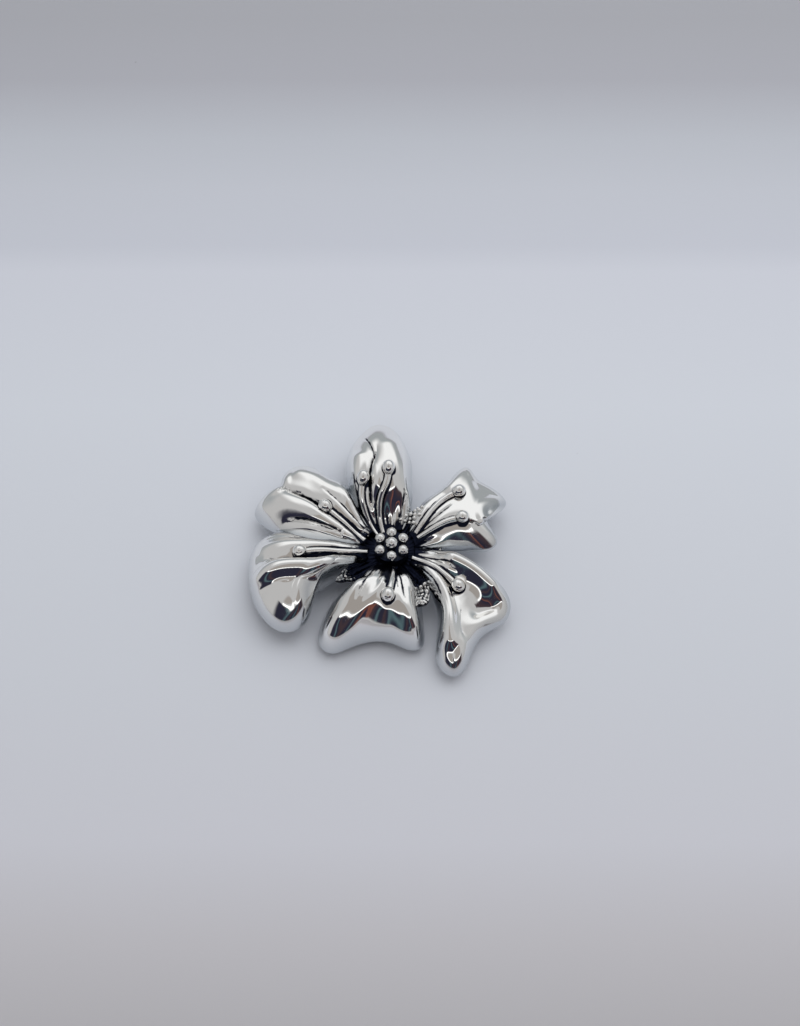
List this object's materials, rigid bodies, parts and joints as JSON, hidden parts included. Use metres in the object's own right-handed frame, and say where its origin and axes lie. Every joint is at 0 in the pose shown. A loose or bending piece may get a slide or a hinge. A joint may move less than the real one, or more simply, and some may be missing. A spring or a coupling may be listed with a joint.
{
  "type": "hat pin",
  "caption": "Polished silver flower hat pin with puffed folded petals, ball-ended wire stamens and a beaded centre, on a hinged pin with a roll-over safety catch",
  "frame": {"origin": "centre of the footprint, on the surface that the flower lies on, which is the bottom of the bounding box", "axes": "+Z is the way the flower faces, +Y points to its longest petal at the top, +X is to its right seen from the front"},
  "size_m": [0.0522, 0.0549, 0.0137],
  "materials": {
    "polished_silver": "mirror polished silver, darkened in the creases",
    "oxidised_silver": "oxidised, blue-black",
    "finding_steel": "plain bright steel"
  },
  "bodies": {
    "flower": {"petal_top": "polished_silver", "petal_upper_right": "polished_silver", "petal_lower_right": "polished_silver", "petal_lower_middle": "polished_silver", "petal_lower_left": "polished_silver", "petal_upper_left": "polished_silver", "stamen_top_left": "polished_silver", "stamen_top_right": "polished_silver", "stamen_upper_right_high": "polished_silver", "stamen_upper_right_low": "polished_silver", "stamen_lower_right": "polished_silver", "stamen_lower_middle": "polished_silver", "stamen_lower_left": "polished_silver", "stamen_upper_left": "polished_silver", "throat_cup": "oxidised_silver", "bead_seat": "oxidised_silver", "ring_beads": "polished_silver", "centre_bead": "polished_silver", "pin_bar": "finding_steel", "hinge_bracket": "finding_steel", "hinge_rivet": "finding_steel", "catch_body": "finding_steel"},
    "pin": {"pin_stem": "finding_steel"},
    "catch": {"catch_rotor": "finding_steel"}
  },
  "joints": [
    {"name": "pin_hinge", "type": "hinge", "parent": "flower", "child": "pin", "pos_m": [0.01335, 0.00282, 0.0019], "axis": [0, -1, 0], "range_deg": [0, 60]},
    {"name": "catch_turn", "type": "hinge", "parent": "flower", "child": "catch", "pos_m": [-0.00815, 0.00282, 0.0019], "axis": [-1, 0, 0], "range_deg": [0, 120]}
  ]
}
